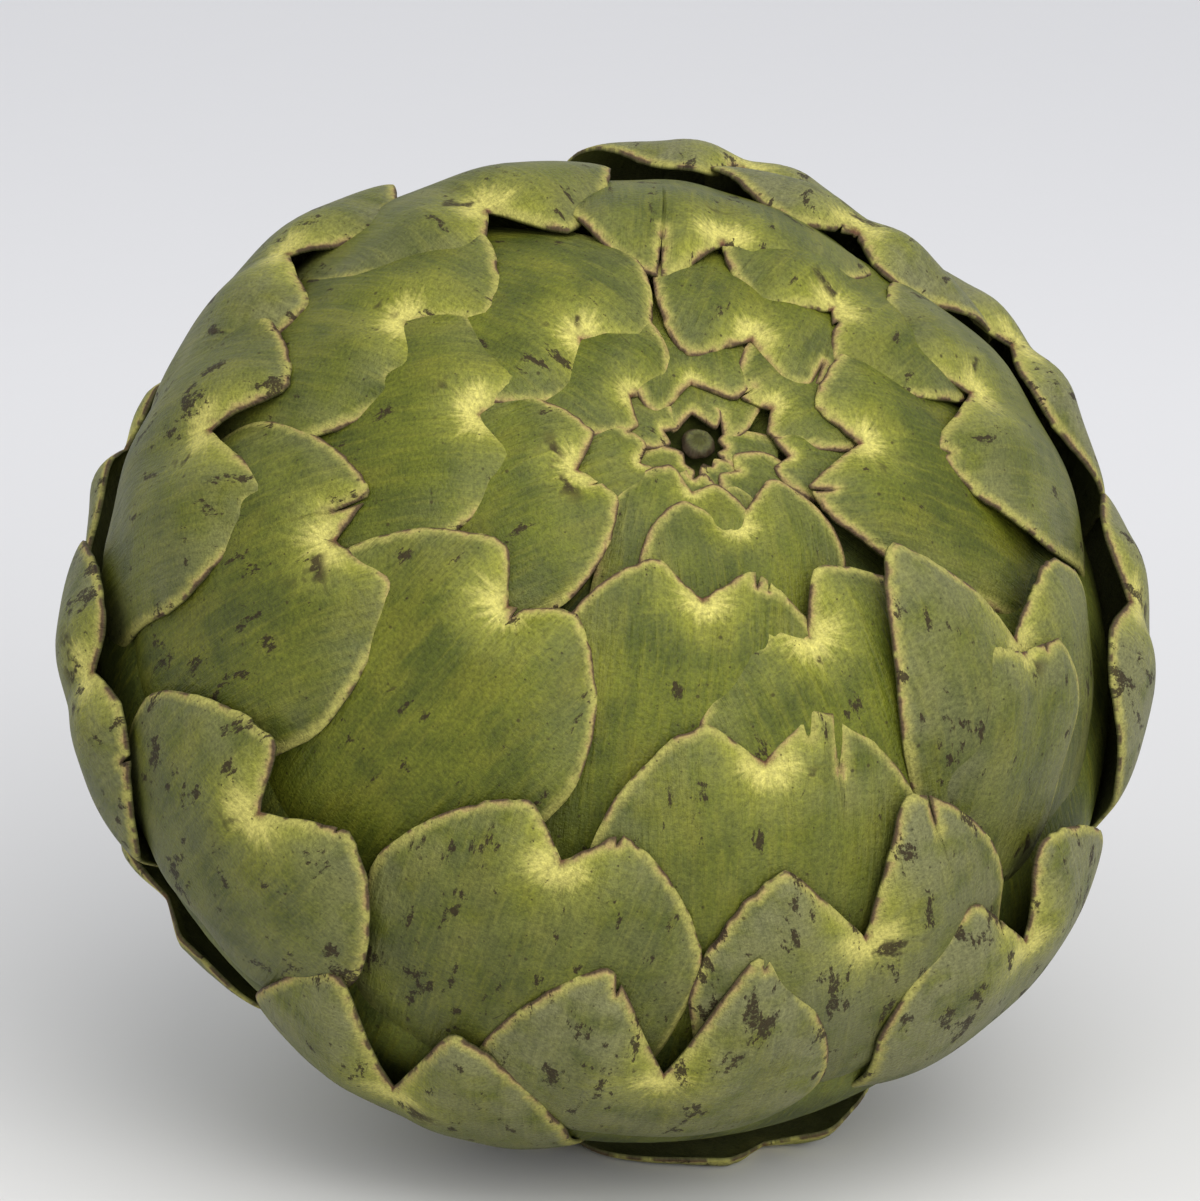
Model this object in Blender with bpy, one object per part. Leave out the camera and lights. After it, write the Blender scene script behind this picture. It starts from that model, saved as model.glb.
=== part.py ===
"""Whole globe artichoke, lying tipped back on its cut stem stub. Metres, +Z up, resting on z = 0.

The head's axis lies in the YZ plane and points to -Y and up. A place on the head is given by its polar
angle from the tip of that axis and its turn round the axis, both in degrees. Turn 0 is at -X, and turns
grow counter-clockwise as seen from the tip, so turn 90 is underneath.
"""
import math

import bmesh
import bpy
from mathutils import Quaternion, Vector

# The fleshy body that the bracts lie on
BODY_RADIUS = 0.0605
TOP_RATIO = 0.77
BOTTOM_RATIO = 0.69
CROWN_DIMPLE = 0.0030
DIMPLE_SPREAD = 11.0
CORE_DEPTH = 0.0034
CORE_SUBDIVISIONS = 3
AXIS_RISE = 46.0
HEAD_CENTRE = (-0.0001, 0.0023, 0.0517)

# The spiral that the bracts grow on, counted outward from the crown
BRACT_COUNT = 67
GOLDEN_ANGLE = 137.508
FIRST_TURN = 275.0
POLAR_START = 6.0
POLAR_STEP = 1.1
POLAR_GROWTH = 0.040
POLAR_EASE = 0.000085

# One bract: a broad scale with a V notch between two rounded lobes
WIDEST_BRACT = 0.0415
WIDTH_RISE = 6.5
WIDTH_FALL = 12.0
LENGTH_RATIO = 1.30
LOBE_PLACE = 0.30
NOTCH_DEPTH = 0.28
NOTCH_POWER = 1.2
SHOULDER_DROP = 0.85
SHOULDER_POWER = 1.5
SLOPE = 0.125
TIP_SHARE = 0.50
BULGE = 0.016
LOBE_LIFT = 0.016
LOBE_SPREAD = 0.25
LOBE_REACH = 0.35
NOTCH_DIP = 0.020
NOTCH_REACH = 0.24
REAR_POLAR = 76.0
REAR_SPAN = 26.0
REAR_SETTLE = 0.72
ROOT_DEPTH = 0.0050
OVERHANG = 0.20

ACROSS = (-1.0, -0.68, -0.30, 0.0, 0.30, 0.68, 1.0)
ALONG = (0.0, 0.18, 0.50, 1.0)

# Bracts of this head that stand off the spiral: degrees down from the tip, degrees of turn
NUDGES = {
    0: (1.6, -12), 1: (-1.2, 14), 2: (1, 13), 3: (-1, -14), 4: (-1, -9), 5: (2, -8), 6: (0, -11), 7: (1, 16),
    8: (-1, 11), 9: (0, 3), 10: (4, 10), 11: (0, -3), 12: (-1, -22), 13: (1, -13), 14: (0, -7), 15: (4, 14),
    16: (0, 7), 17: (0, -4), 18: (7, -2), 19: (0, -3), 20: (-4, -2), 21: (-7, 8), 22: (1, 1), 23: (5, 6),
    24: (0, 6), 25: (0, -12), 26: (-2, -5), 27: (2, 0), 28: (-5, 2), 29: (-13, 8), 30: (2, -1), 32: (1, 5),
    33: (-13, -10), 35: (3, 6), 36: (4, 0), 38: (15, 0), 39: (4, 0), 40: (10, 0), 43: (10, 0),
}
# Bracts whose foot swings aside, in degrees, and bracts wider or narrower than the rule
LEANS = {4: -8, 12: 8, 16: -8, 19: -6, 20: -22, 24: -6, 25: 6, 27: -6, 32: -8, 35: 10}
WIDTHS = {0: 1.7, 1: 1.3, 22: 0.95}
# Bracts whose notch is torn deeper than the rule's, in half widths
CLEFTS = {10: 0.48, 15: 0.55, 20: 0.60, 24: 0.50, 25: 0.66, 30: 0.80, 33: 0.60, 35: 0.80}
# Extra bracts that grew between the others: polar, turn, share of the usual width, lean, notch
STRAYS = ((40.0, 140.6, 0.55, -40.0, 0.10), (7.0, 12.5, 0.32, 0.0, 0.28), (9.2, 166.0, 0.26, 0.0, 0.28))

# The crown bud's own small frilled bracts: polar, turn, width in millimetres, lean
BUD_BRACTS = (
    (2.3, 112.0, 4.6, 0.0), (2.4, 40.0, 6.2, -25.0), (2.8, 180.0, 5.2, -15.0), (4.3, 265.0, 6.6, 0.0),
    (3.9, 66.0, 6.6, 0.0), (4.0, 322.0, 7.6, 0.0), (4.9, 230.0, 7.0, 0.0), (5.2, 98.0, 7.4, 0.0),
    (4.3, 135.0, 8.6, 0.0),
)
BUD_RADIUS = 0.0048
BUD_SUNK = -0.0003

# The cut stem stub
STEM_RADIUS = 0.0115
STEM_FLARE = 0.0022
STEM_OUT = 0.0215
STEM_IN = 0.0090
STEM_SIDES = 24
STEM_RINGS = 6
STEM_RIBS = 6
RIB_HEIGHT = 0.0004
SEAT_GAP = 0.0003
FLOOR_BLOCK = 0.2

GREEN = (0.17, 0.19, 0.05)
STEM_GREEN = (0.30, 0.36, 0.15)
MERGE = 0.00002
MM = 0.001


def head_axes():
    """The head's frame: two directions across the axis, for turns 0 and 90, and the axis itself."""
    rise = math.radians(AXIS_RISE)
    axis = Vector((0.0, -math.cos(rise), math.sin(rise)))
    side = Vector((-1.0, 0.0, 0.0))
    return side, axis.cross(side), axis


def direction(polar, turn):
    """Unit direction on the head for a polar angle and a turn in degrees."""
    p = math.radians(polar)
    a = math.radians(turn)
    return Vector((math.sin(p) * math.cos(a), math.sin(p) * math.sin(a), math.cos(p)))


def on_body(unit, lift):
    """Point of the head's body in the direction, raised off it by lift, in world coordinates."""
    ratio = TOP_RATIO if unit.z > 0.0 else BOTTOM_RATIO
    polar = math.degrees(math.acos(max(-1.0, min(1.0, unit.z))))
    place = Vector((unit.x, unit.y, unit.z * ratio)) * BODY_RADIUS
    place.z -= CROWN_DIMPLE * math.exp(-(polar / DIMPLE_SPREAD) ** 2)
    normal = Vector((unit.x, unit.y, unit.z / ratio)).normalized()
    place += normal * lift
    side, under, axis = head_axes()
    return Vector(HEAD_CENTRE) + side * place.x + under * place.y + axis * place.z


def spiral_bract(n):
    """Polar angle, turn, half width, lean and notch depth of the spiral's bract n."""
    polar = POLAR_START + POLAR_STEP * n + POLAR_GROWTH * n ** 2 - POLAR_EASE * n ** 3
    down, round_ = NUDGES.get(n, (0, 0))
    turn = FIRST_TURN + GOLDEN_ANGLE * n
    share = (1.0 - math.exp(-(n + 1.5) / WIDTH_RISE)) * (1.0 - math.exp(-(BRACT_COUNT - n) / WIDTH_FALL))
    half = 0.5 * WIDEST_BRACT * share * WIDTHS.get(n, 1.0)
    return polar + down, turn + round_, half, LEANS.get(n, 0.0), CLEFTS.get(n, NOTCH_DEPTH)


def all_bracts():
    """Every bract of the head as (polar, turn, half width, lean, notch depth)."""
    bracts = [spiral_bract(n) for n in range(BRACT_COUNT)]
    for polar, turn, share, lean, cleft in STRAYS:
        bracts.append((polar, turn, 0.5 * WIDEST_BRACT * share, lean, cleft))
    for polar, turn, width, lean in BUD_BRACTS:
        bracts.append((polar, turn, 0.5 * MM * width, lean, NOTCH_DEPTH))
    return bracts


def slope_at(polar):
    """How steeply a bract stands off the head: those behind the widest part lie flatter."""
    q = max(0.0, min(1.0, (polar - REAR_POLAR) / REAR_SPAN))
    return SLOPE * (1.0 - REAR_SETTLE * q * q * (3.0 - 2.0 * q))


def outline_top(s, cleft):
    """How far the tip edge lies below the lobes at s across, in half widths: notch, lobe and shoulder."""
    s = abs(s)
    if s < LOBE_PLACE:
        return cleft * (1.0 - s / LOBE_PLACE) ** NOTCH_POWER
    q = (s - LOBE_PLACE) / (1.0 - LOBE_PLACE)
    return SHOULDER_DROP * (1.0 - (1.0 - q ** SHOULDER_POWER) ** (1.0 / SHOULDER_POWER))


def bract_point(bract, s, t, inner=False):
    """World point of a bract, s across from -1 to 1 and t along from tip to base.

    The outer face follows the bract's form. The inner face is drawn in from the edges, so that the tip
    overhangs, and lies inside the core.
    """
    polar, turn, half, lean, cleft = bract
    length = 2.0 * half * LENGTH_RATIO
    top = outline_top(s, cleft) * half
    y = top + (length - top) * t
    x = s * half
    notch = cleft * half
    if inner:
        x *= 1.0 - OVERHANG
        y += OVERHANG * half * (1.0 - t)
        lift = -ROOT_DEPTH
    else:
        near = math.exp(-((x * x + (y - notch) ** 2) / (NOTCH_REACH * half) ** 2))
        lobe = math.exp(-((abs(s) - LOBE_PLACE) / LOBE_SPREAD) ** 2) * math.exp(-y / (LOBE_REACH * half))
        crown = (1.0 - s * s) * math.sin(math.pi * min(1.0, y / length))
        rise = slope_at(polar) * (TIP_SHARE - y / length) + BULGE * crown
        rise += LOBE_LIFT * lobe - NOTCH_DIP * near
        lift = length * rise
    start = direction(polar, turn)
    down = Quaternion(start, math.radians(lean)) @ direction(polar + 90.0, turn)
    across = start.cross(down)
    y -= notch
    reach = math.hypot(x, y) / BODY_RADIUS
    if reach > 0.0:
        heading = (across * x + down * y) / math.hypot(x, y)
        start = start * math.cos(reach) + heading * math.sin(reach)
    return on_body(start, lift)


def add_object(name, mesh, collection):
    """New object for a mesh, linked to a collection."""
    thing = bpy.data.objects.new(name, mesh)
    collection.objects.link(thing)
    return thing


def make_bract(number, bract, collection):
    """One bract: a grid drawn out into a slab, laid on the head by the bract's rule."""
    mesh = bpy.data.meshes.new("bract")
    bm = bmesh.new()
    columns = len(ACROSS) - 1
    rows = len(ALONG) - 1
    bmesh.ops.create_grid(bm, x_segments=columns, y_segments=rows, size=1.0)
    bmesh.ops.triangulate(bm, faces=bm.faces[:], quad_method="FIXED")
    slab = bmesh.ops.extrude_face_region(bm, geom=bm.faces[:], use_keep_orig=True)
    inner = {vert for vert in slab["geom"] if isinstance(vert, bmesh.types.BMVert)}
    for vert in bm.verts:
        i = round((vert.co.x + 1.0) * columns / 2.0)
        j = round((1.0 - vert.co.y) * rows / 2.0)
        vert.co = bract_point(bract, ACROSS[i], ALONG[j], vert in inner)
    bmesh.ops.recalc_face_normals(bm, faces=bm.faces[:])
    bm.to_mesh(mesh)
    bm.free()
    return add_object("bract.%03d" % number, mesh, collection)


def make_core(collection):
    """The smaller fleshy core that every bract's base is rooted in."""
    mesh = bpy.data.meshes.new("core")
    bm = bmesh.new()
    bmesh.ops.create_icosphere(bm, subdivisions=CORE_SUBDIVISIONS, radius=1.0)
    for vert in bm.verts:
        vert.co = on_body(vert.co.normalized(), -CORE_DEPTH)
    bm.to_mesh(mesh)
    bm.free()
    return add_object("head", mesh, collection)


def make_bud(collection):
    """The closed bud in the middle of the crown."""
    mesh = bpy.data.meshes.new("bud")
    bm = bmesh.new()
    bmesh.ops.create_icosphere(bm, subdivisions=2, radius=BUD_RADIUS)
    middle = on_body(Vector((0.0, 0.0, 1.0)), -BUD_SUNK - BUD_RADIUS)
    bmesh.ops.translate(bm, verts=bm.verts[:], vec=middle)
    bm.to_mesh(mesh)
    bm.free()
    return add_object("bud", mesh, collection)


def apply_modifiers(thing):
    """Replace an object's mesh by its evaluated one."""
    graph = bpy.context.evaluated_depsgraph_get()
    mesh = bpy.data.meshes.new_from_object(thing.evaluated_get(graph))
    thing.modifiers.clear()
    thing.data = mesh


def keep_outer_body(thing):
    """Drop loose scraps and fill hollows that the union sealed: only the largest body stays."""
    bm = bmesh.new()
    bm.from_mesh(thing.data)
    unseen = set(bm.verts)
    bodies = []
    while unseen:
        stack = [unseen.pop()]
        body = list(stack)
        while stack:
            for edge in stack.pop().link_edges:
                for vert in edge.verts:
                    if vert in unseen:
                        unseen.discard(vert)
                        stack.append(vert)
                        body.append(vert)
        bodies.append(body)
    bodies.sort(key=len)
    for body in bodies[:-1]:
        bmesh.ops.delete(bm, geom=body, context="VERTS")
    bm.to_mesh(thing.data)
    bm.free()


def make_cutter(name, mesh, collection):
    """Object that only cuts: drawn as wire and never rendered."""
    thing = add_object(name, mesh, collection)
    thing.display_type = "WIRE"
    thing.hide_render = True
    return thing


def make_floor_cutter(collection):
    """Block under z = 0, which trims what rests to a small flat spot."""
    mesh = bpy.data.meshes.new("floor_cutter")
    bm = bmesh.new()
    bmesh.ops.create_cube(bm, size=FLOOR_BLOCK)
    bm.to_mesh(mesh)
    bm.free()
    thing = make_cutter("floor_cutter", mesh, collection)
    thing.location = (0.0, 0.0, -0.5 * FLOOR_BLOCK)
    return thing


def stem_mesh(name, grow):
    """Stem stub along the head's axis, flared where it joins the head, grown sideways by grow."""
    side, under, axis = head_axes()
    bottom = BODY_RADIUS * BOTTOM_RATIO
    first = -(bottom - STEM_IN - grow)
    last = -(bottom + STEM_OUT + grow)
    mesh = bpy.data.meshes.new(name)
    bm = bmesh.new()
    bmesh.ops.create_grid(bm, x_segments=STEM_SIDES, y_segments=STEM_RINGS, size=1.0)
    for vert in bm.verts:
        u = (vert.co.x + 1.0) / 2.0
        v = (vert.co.y + 1.0) / 2.0
        angle = 2.0 * math.pi * u
        flare = STEM_FLARE * (1.0 - v) ** 2
        rib = RIB_HEIGHT * math.cos(STEM_RIBS * angle)
        radius = STEM_RADIUS + flare + rib + grow
        along = first + (last - first) * v
        place = side * (radius * math.cos(angle)) + under * (radius * math.sin(angle)) + axis * along
        vert.co = Vector(HEAD_CENTRE) + place
    bmesh.ops.remove_doubles(bm, verts=bm.verts[:], dist=MERGE)
    bmesh.ops.holes_fill(bm, edges=[e for e in bm.edges if e.is_boundary], sides=0)
    bmesh.ops.recalc_face_normals(bm, faces=bm.faces[:])
    bm.to_mesh(mesh)
    bm.free()
    return mesh


def add_boolean(thing, operation, other=None, group=None):
    """Boolean modifier against one object or a whole collection."""
    cut = thing.modifiers.new(operation.lower(), "BOOLEAN")
    cut.operation = operation
    if group:
        cut.operand_type = "COLLECTION"
        cut.collection = group
    else:
        cut.object = other


def make_material(name, colour, roughness):
    """Plain Principled material."""
    material = bpy.data.materials.new(name)
    material.use_nodes = True
    shader = material.node_tree.nodes["Principled BSDF"]
    shader.inputs["Base Color"].default_value = (*colour, 1.0)
    shader.inputs["Roughness"].default_value = roughness
    shader.inputs["Metallic"].default_value = 0.0
    return material


def new_collection(name):
    """Collection linked to the scene."""
    collection = bpy.data.collections.new(name)
    bpy.context.scene.collection.children.link(collection)
    return collection


def main():
    """Build the head and its stem stub."""
    for thing in list(bpy.data.objects):
        bpy.data.objects.remove(thing)
    artichoke = new_collection("artichoke")
    cutters = new_collection("cutters")
    bracts = new_collection("bracts")

    floor = make_floor_cutter(cutters)
    socket = make_cutter("stem_socket", stem_mesh("stem_socket", SEAT_GAP), cutters)

    head = make_core(artichoke)
    for number, bract in enumerate(all_bracts()):
        make_bract(number, bract, bracts)
    make_bud(bracts)
    add_boolean(head, "UNION", group=bracts)
    add_boolean(head, "DIFFERENCE", other=floor)
    add_boolean(head, "DIFFERENCE", other=socket)
    apply_modifiers(head)
    for thing in list(bracts.objects):
        bpy.data.objects.remove(thing)
    bpy.data.collections.remove(bracts)
    keep_outer_body(head)
    head.data.materials.clear()
    head.data.materials.append(make_material("bract_green", GREEN, 0.5))

    stem = add_object("stem", stem_mesh("stem", 0.0), artichoke)
    add_boolean(stem, "DIFFERENCE", other=floor)
    apply_modifiers(stem)
    stem.data.materials.append(make_material("stem_green", STEM_GREEN, 0.6))


main()
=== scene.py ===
"""Looks of a whole globe artichoke: fine notched bracts, crown bud and stem stub round the CAD frame."""
import math

import bmesh
import bpy
import numpy as np
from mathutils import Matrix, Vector


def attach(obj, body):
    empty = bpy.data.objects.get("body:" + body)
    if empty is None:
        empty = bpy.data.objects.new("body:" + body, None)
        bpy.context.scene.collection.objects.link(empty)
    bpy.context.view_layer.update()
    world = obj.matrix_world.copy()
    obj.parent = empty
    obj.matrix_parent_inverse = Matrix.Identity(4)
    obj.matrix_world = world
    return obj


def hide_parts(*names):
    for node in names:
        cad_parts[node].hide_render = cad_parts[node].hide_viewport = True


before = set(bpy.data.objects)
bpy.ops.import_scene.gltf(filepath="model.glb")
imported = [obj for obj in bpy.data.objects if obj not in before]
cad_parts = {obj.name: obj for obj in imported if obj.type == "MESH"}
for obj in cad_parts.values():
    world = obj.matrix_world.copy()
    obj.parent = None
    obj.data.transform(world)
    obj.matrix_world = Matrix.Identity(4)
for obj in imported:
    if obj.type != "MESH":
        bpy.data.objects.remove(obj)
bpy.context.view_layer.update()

# The fleshy body that the bracts lie on, in metres and degrees, as in the CAD source. The core's skin lies
# CORE_DEPTH under it, a millimetre less than there
BODY_RADIUS = 0.0605
TOP_RATIO = 0.77
BOTTOM_RATIO = 0.69
CROWN_DIMPLE = 0.0030
DIMPLE_SPREAD = 11.0
CORE_DEPTH = 0.0024
AXIS_RISE = 46.0
HEAD_CENTRE = (-0.0001, 0.0023, 0.0517)

# The spiral that the bracts grow on, counted outward from the crown
BRACT_COUNT = 67
GOLDEN_ANGLE = 137.508
FIRST_TURN = 275.0
POLAR_START = 6.0
POLAR_STEP = 1.1
POLAR_GROWTH = 0.040
POLAR_EASE = 0.000085

# One bract: a broad scale with a V notch between two rounded lobes. WIDEST_BRACT is in metres, and widths
# rise and fall over about WIDTH_RISE and WIDTH_FALL bracts. Places on a bract are in half widths, heights
# over the body in shares of the bract's length, and angles in degrees
WIDEST_BRACT = 0.0415
WIDTH_RISE = 6.5
WIDTH_FALL = 12.0
LENGTH_RATIO = 1.30
LOBE_PLACE = 0.30
NOTCH_DEPTH = 0.28
LOBE_DRAW = (0.85, 1.2)
SHOULDER_DROP = 0.85
SHOULDER_BELOW = 0.2
SHOULDER_POWER = 1.5
VEE_SHARE = 0.9
SLOPE = 0.165
TIP_SHARE = 0.50
BULGE = 0.016
LOBE_LIFT = 0.016
LOBE_SPREAD = 0.25
LOBE_REACH = 0.35
REAR_POLAR = 76.0
REAR_SPAN = 26.0
REAR_SETTLE = 0.72

# How far notches sink, in shares of the bract's length, and how wide the dip is, in half widths. They sink
# less from DIP_END - DIP_SPAN degrees down, and past DIP_END they stand out instead
NOTCH_DIP = 0.013
NOTCH_REACH = 0.24
DIP_END = 48.0
DIP_SPAN = 20.0
DIP_LEAST = -0.4

# Relief of a blade, in metres: a plump middle and shallow waves, both less on bracts with a half width under
# FULL_HALF, and a rounded margin
FULL_HALF = 0.015
PLUMPNESS = 0.0012
PLUMP_REACH = 0.0045
PLUMP_SINK = 0.6
BEVEL_DEPTH = 0.00018
BEVEL_REACH = 0.0005
WAVE_HEIGHT = 0.00045
WAVE_LENGTH = 0.024
WAVE_COUNT = 6

# Folds that run back from the lobes with a valley between them, in half widths. They fade out toward the
# edge, over FOLD_EDGE metres, and toward the crown, from FOLD_POLAR degrees down
FOLD = 0.050
FOLD_PLACE = 0.8
FOLD_WIDTH = 0.22
FOLD_REACH = 0.5
FOLD_EDGE = 0.0030
FOLD_POLAR = 20.0
VALLEY_SHARE = 0.5
VALLEY_WIDTH = 0.14

# The incurved tip, in half widths. It is strongest at CURL_TURN, on the upper side, where bracts stand
# steeper too
CURL = 0.16
CURL_REACH = 0.32
CURL_TURN = 260.0
CURL_MEAN = 0.62
CURL_SWING = 0.38
UPPER_LIFT = 0.30
UPPER_POLAR = 40.0

# Bites in the tip edge: depth in half widths, how many waves, and the longest in metres
NICKS = ((0.012, 4, 0.004), (0.010, 3, 0.0016))

# Bracts of this head that stand off the spiral: degrees down from the tip, degrees of turn
NUDGES = {
    0: (1.6, -12), 1: (-1.2, 14), 2: (1, 13), 3: (-1, -14), 4: (-1, -9), 5: (2, -8), 6: (0, -11), 7: (1, 16),
    8: (-1, 11), 9: (0, 3), 10: (4, 10), 11: (0, -3), 12: (-1, -22), 13: (1, -13), 14: (0, -7), 15: (4, 14),
    16: (0, 7), 17: (0, -4), 18: (7, -2), 19: (0, -3), 20: (-4, -2), 21: (-7, 8), 22: (1, 1), 23: (5, 6),
    24: (0, 6), 25: (0, -12), 26: (-2, -5), 27: (2, 0), 28: (-5, 2), 29: (-13, 8), 30: (2, -1), 32: (1, 5),
    33: (-13, -10), 35: (3, 6), 36: (4, 0), 38: (15, 0), 39: (4, 0), 40: (10, 0), 43: (10, 0),
}
# Bracts whose foot swings aside, in degrees, and bracts wider or narrower than the rule
LEANS = {4: -8, 12: 8, 16: -8, 19: -6, 20: -22, 24: -6, 25: 6, 27: -6, 32: -8, 35: 10}
WIDTHS = {0: 1.7, 1: 1.3, 22: 0.95}
# Bracts whose two lobes differ from the rule's: left place and height over the notch, right place and
# height, in half widths, seen with the notch up
LOBES = {
    0: (0.65, 0.27, 0.60, 0.58), 1: (0.32, 0.28, 0.26, 0.18), 3: (0.42, 0.20, 0.25, 0.25),
    4: (0.46, 0.25, 0.40, 0.42), 5: (0.38, 0.28, 0.42, 0.42), 6: (0.24, 0.22, 0.30, 0.18),
    7: (0.40, 0.45, 0.28, 0.30), 8: (0.30, 0.30, 0.36, 0.26), 9: (0.31, 0.22, 0.29, 0.22),
    10: (0.32, 0.48, 0.33, 0.40), 11: (0.24, 0.24, 0.31, 0.24), 12: (0.25, 0.17, 0.20, 0.32),
    13: (0.24, 0.28, 0.35, 0.42), 14: (0.24, 0.24, 0.32, 0.22), 15: (0.38, 0.55, 0.25, 0.50),
    16: (0.24, 0.40, 0.31, 0.30), 17: (0.33, 0.22, 0.28, 0.26), 19: (0.20, 0.28, 0.35, 0.28),
    20: (0.60, 0.86, 0.58, 0.20), 21: (0.25, 0.42, 0.36, 0.40), 22: (0.26, 0.28, 0.27, 0.27),
    24: (0.24, 0.50, 0.42, 0.50), 25: (0.36, 0.58, 0.40, 0.74), 27: (0.22, 0.38, 0.40, 0.40),
    29: (0.30, 0.48, 0.38, 0.48), 30: (0.42, 0.80, 0.34, 0.95), 33: (0.34, 0.60, 0.26, 0.60),
    35: (0.36, 0.95, 0.34, 0.85), 300: (0.52, 0.10, 0.55, 0.06), 501: (0.40, 0.12, 0.40, 0.12),
    503: (0.75, 0.55, 0.75, 0.65), 506: (0.60, 0.75, 0.50, 0.30), 507: (0.40, 0.14, 0.45, 0.10),
}
# Extra bracts that grew between the others: polar, turn, share of the usual width, lean. They are in the ring
# that holds bract STRAY_BESIDE, and go by the numbers from STRAY_SEED on
STRAYS = ((40.0, 140.6, 0.55, -40.0), (7.0, 12.5, 0.32, 0.0), (9.2, 166.0, 0.26, 0.0))
STRAY_SEED = 300
STRAY_BESIDE = 24

# Bracts whose left and right lobes stand off further, in millimetres. RAISE_BLEND is how softly left turns to
# right, and RAISE_REACH how far down the bract the raise goes, in half widths
RAISES = {20: (4.4, 0.6), 300: (4.0, 2.4), 12: (0.3, 0.8), 25: (0.4, 1.2), 24: (0.6, 0.6), 7: (0.6, 0.4)}
RAISE_BLEND = 0.18
RAISE_REACH = 1.2

# Splits in the tip edge of named bracts: place across, depth and half gap, in half widths. Other bracts draw
# theirs from CRACK_SPANS
CRACK_SPANS = ((-0.6, 0.6), (0.03, 0.10), (0.010, 0.018))
CRACK_CLEAR = 1.3
CRACKS = {
    2: ((0.34, 0.22, 0.020),), 5: ((-0.62, 0.30, 0.012),), 7: ((-0.43, 0.16, 0.012),),
    9: ((0.34, 0.10, 0.020), (0.42, 0.07, 0.012)), 12: ((-0.30, 0.08, 0.020), (-0.20, 0.05, 0.014)),
    13: ((0.37, 0.42, 0.012), (-0.26, 0.16, 0.016)), 16: ((0.40, 0.14, 0.030),),
    17: ((0.24, 0.12, 0.016), (0.42, 0.34, 0.014)), 19: ((-0.16, 0.26, 0.014),), 22: ((0.25, 0.07, 0.018),),
    24: ((0.50, 0.10, 0.016),), 25: ((0.52, 0.24, 0.010),), 30: ((-0.36, 0.10, 0.018), (0.40, 0.06, 0.018)),
}

# The crown bud's own small frilled bracts: polar, turn, width in millimetres, lean, numbered from BUD_SEED on
BUD_SEED = 500
BUD_BRACTS = (
    (2.3, 112.0, 4.6, 0.0), (2.4, 40.0, 6.2, -25.0), (2.8, 180.0, 5.2, -15.0), (4.3, 265.0, 6.6, 0.0),
    (3.9, 66.0, 6.6, 0.0), (4.0, 322.0, 7.6, 0.0), (4.9, 230.0, 7.0, 0.0), (5.2, 98.0, 7.4, 0.0),
    (4.3, 135.0, 8.6, 0.0),
)
# The closed bud between them, a dome with faint folds and a shallow ring
BUD_RADIUS = 0.0019
BUD_RISE = 0.0008
BUD_POLAR = 1.15
BUD_TURN = 253.0
BUD_FOLD = 0.05
BUD_RIPPLE = 0.02
BUD_RING_DIP = 0.0004

# The cut stem stub, in metres: ribs and fine grooves, a rough cut face, a bevelled rim and a sunken pith
STEM_RADIUS = 0.0115
STEM_FLARE = 0.0022
STEM_OUT = 0.0215
STEM_IN = 0.0090
STEM_RIBS = 6
RIB_HEIGHT = 0.0004
STEM_GROOVES = 24
GROOVE_DEPTH = 0.00012
CUT_BEVEL = 0.0003
CUT_ROUGHNESS = 0.00022
CUT_GRAIN = 0.006
PITH_DIP = 0.0006
STEM_SEED = 11

# Fineness of the bracts' grids, with rows crowded to the tip and columns to the sides, and their thickness
COLUMNS = 60
ROWS = 34
SMALL_COLUMNS = 36
SMALL_ROWS = 22
SMALL_HALF = 0.0085
ROW_CROWDING = 1.5
SIDE_CROWDING = 0.4
MARGIN_THICKNESS = 0.00042
BLADE_THICKNESS = 0.0014
THICKENS_OVER = 0.0030
RINGS = ((0, 12), (12, 24), (24, 38), (38, 53), (53, BRACT_COUNT))

# What would dip under the floor is pressed flat within FLOOR_EASE metres of it. The bracts' painted grey
# sheen is strongest on the side of the head round the next turn, in degrees
FLOOR_EASE = 0.0005
SHEEN_TURN = 190.0

# The view that the photo was taken from
CAMERA_AZIMUTH = -18.9
CAMERA_ELEVATION = 15.0
CAMERA_DISTANCE = 0.65
CAMERA_LENS = 171.0
FRAME_RIGHT = -0.0008
FRAME_UP = 0.0067

# Colours, linear
DEEP_GREEN = (0.069, 0.086, 0.007)
FRESH_GREEN = (0.120, 0.137, 0.010)
YELLOW_GREEN = (0.170, 0.169, 0.015)
# Grey of the bloom on the bracts, which also carries their painted sheen
GREY_BLOOM_SHEEN = (0.196, 0.194, 0.086)
NOTCH_GREEN = (0.330, 0.330, 0.036)
NOTCH_CREAM = (0.620, 0.560, 0.150)
RIM = (0.400, 0.370, 0.095)
RIM_FLUSH = (0.330, 0.190, 0.100)
MARGIN_BROWN = (0.050, 0.026, 0.018)
APEX_BROWN = (0.110, 0.045, 0.020)
SCUFF_BROWN = (0.026, 0.015, 0.005)
INSIDE_GREEN = (0.130, 0.140, 0.050)
BUD_GREEN = (0.120, 0.125, 0.022)
BUD_DARK = (0.060, 0.058, 0.014)
FLESH_DARK = (0.050, 0.064, 0.010)
FLESH_PALE = (0.110, 0.128, 0.020)
STEM_DEEP = (0.170, 0.200, 0.070)
STEM_PALE = (0.330, 0.370, 0.160)
STEM_RIM = (0.180, 0.120, 0.050)
STEM_PITH = (0.420, 0.360, 0.200)

# Noises of the bracts' skin. Scales are per millimetre, but RAY_SCALE's noise runs along the fan's rays, and
# NOISE_SHIFT sets one bract's noise apart from the others'
NOISE_SHIFT = 97.0
STREAK_STRETCH = 0.10
CLOUD_SCALE = 0.13
PATCH_SCALE = 0.22
STREAK_SCALE = 1.3
RAY_SCALE = 2.2
GRAIN_SCALE = 2.4
CLOUD_BAND = (0.36, 0.64)
PATCH_BAND = (0.48, 0.70)
STREAK_BAND = (0.45, 0.70)

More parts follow.
